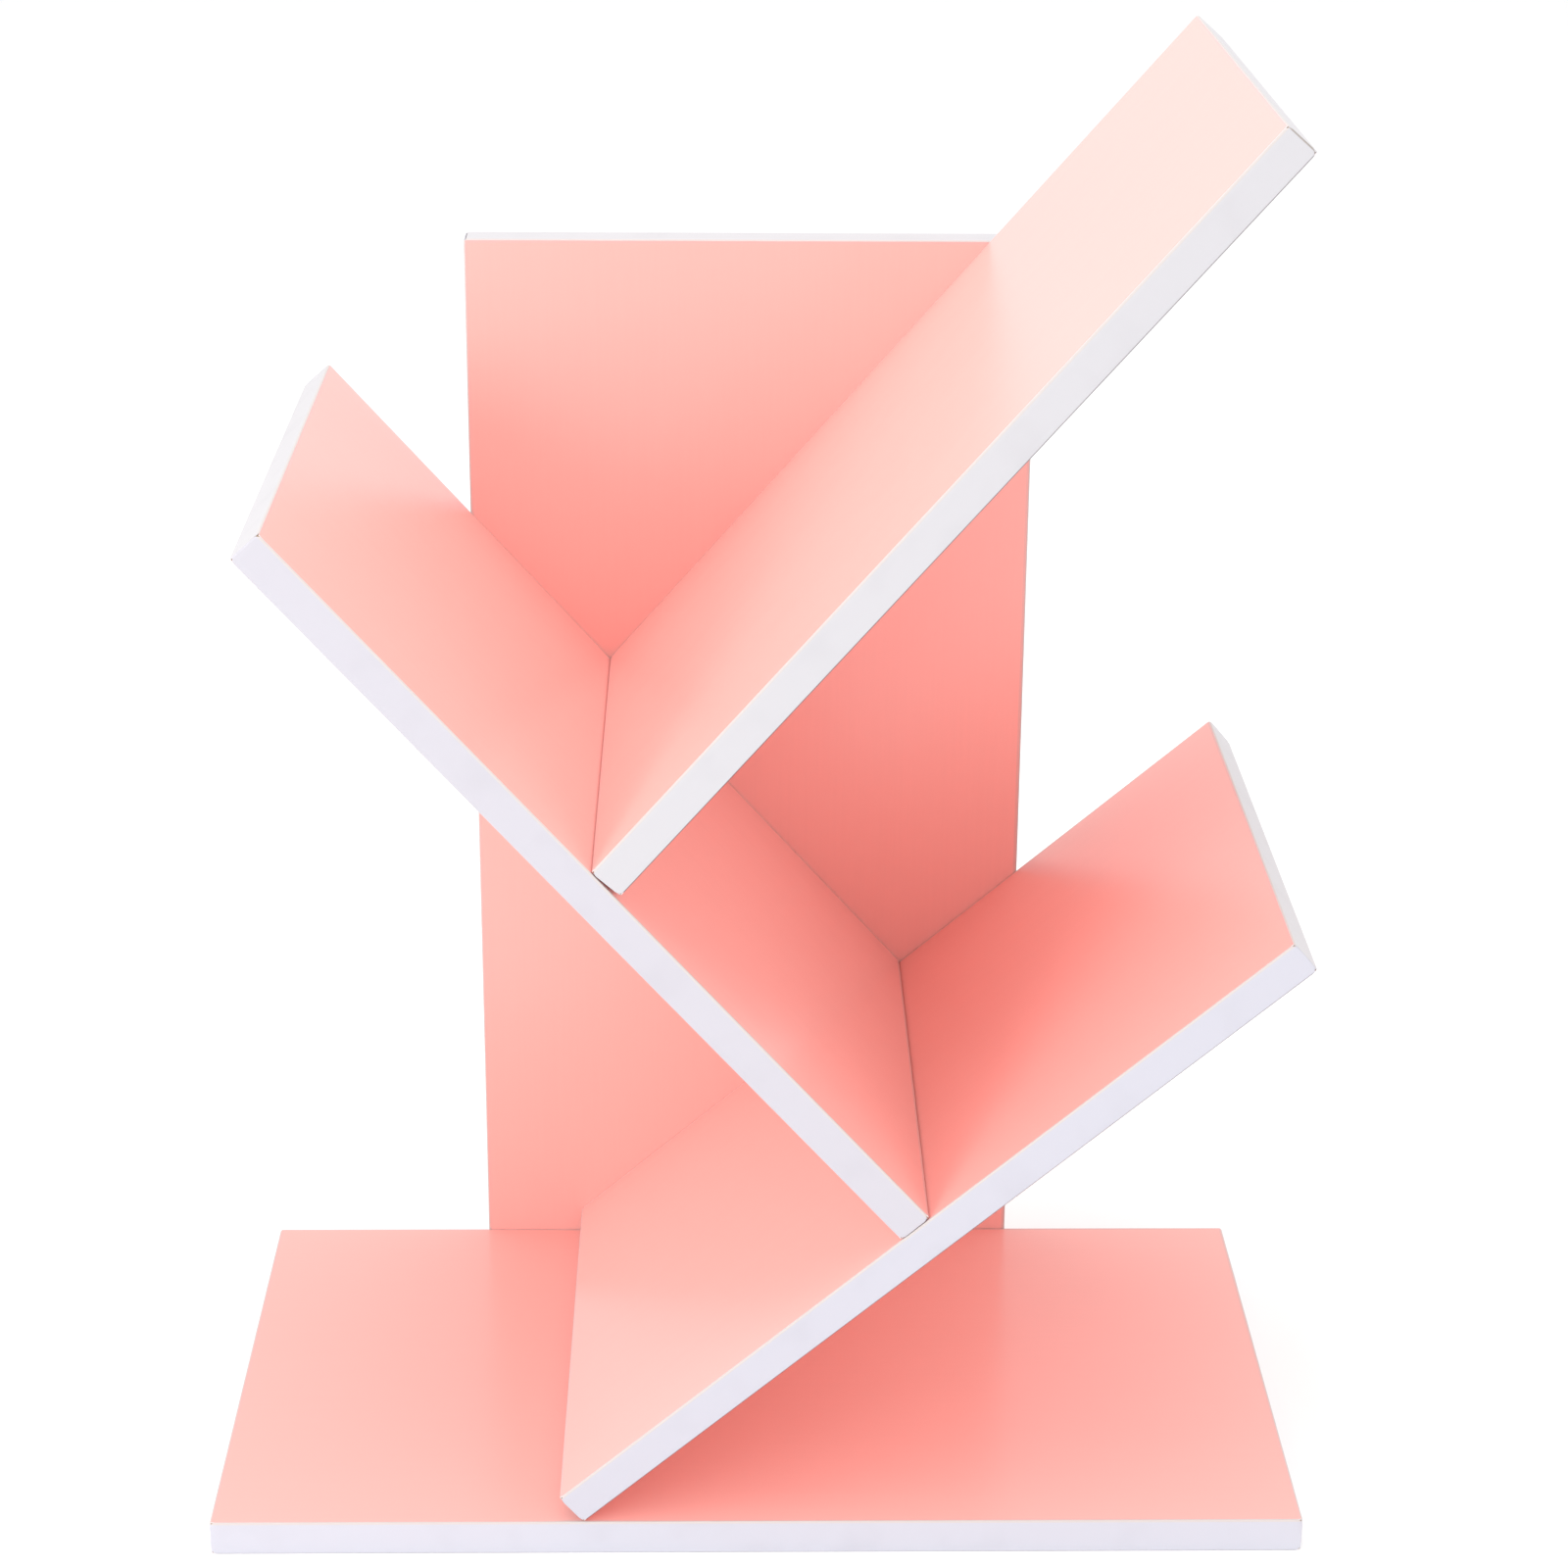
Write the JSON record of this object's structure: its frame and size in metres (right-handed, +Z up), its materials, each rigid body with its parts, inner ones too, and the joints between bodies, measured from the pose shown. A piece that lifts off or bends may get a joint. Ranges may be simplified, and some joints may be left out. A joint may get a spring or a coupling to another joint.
{
  "type": "desktop bookshelf",
  "caption": "Desktop bookshelf shaped like a tree: a flat base, an upright back board and slanting branch boards that hold books in the forks between them.",
  "frame": {"origin": "middle of the footprint, on the table that the base lies on", "axes": "+Z up, +Y from the open front to the back board, +X to the right seen from the front"},
  "size_m": [0.365, 0.216, 0.4782],
  "materials": {
    "pink_facing": "satin melamine with a very fine grain",
    "white_band": "satin edge band",
    "chipboard": "raw chipboard",
    "screw_steel": "zinc plated"
  },
  "bodies": {
    "root": {"base_core": "chipboard", "base_top_facing": "pink_facing", "base_bottom_facing": "pink_facing", "base_front_band": "white_band", "base_rear_band": "white_band", "base_left_band": "white_band", "base_right_band": "white_band", "back_core": "chipboard", "back_front_facing": "pink_facing", "back_rear_facing": "pink_facing", "back_left_band": "white_band", "back_right_band": "white_band", "back_top_band": "white_band", "back_bottom_band": "white_band", "lower_branch_core": "chipboard", "lower_branch_top_facing": "pink_facing", "lower_branch_bottom_facing": "pink_facing", "lower_branch_front_band": "white_band", "lower_branch_rear_band": "white_band", "lower_branch_foot_band": "white_band", "lower_branch_tip_band": "white_band", "middle_branch_core": "chipboard", "middle_branch_top_facing": "pink_facing", "middle_branch_bottom_facing": "pink_facing", "middle_branch_front_band": "white_band", "middle_branch_rear_band": "white_band", "middle_branch_foot_band": "white_band", "middle_branch_tip_band": "white_band", "upper_branch_core": "chipboard", "upper_branch_top_facing": "pink_facing", "upper_branch_bottom_facing": "pink_facing", "upper_branch_front_band": "white_band", "upper_branch_rear_band": "white_band", "upper_branch_foot_band": "white_band", "upper_branch_tip_band": "white_band", "back_screws": "screw_steel"}
  },
  "joints": []
}
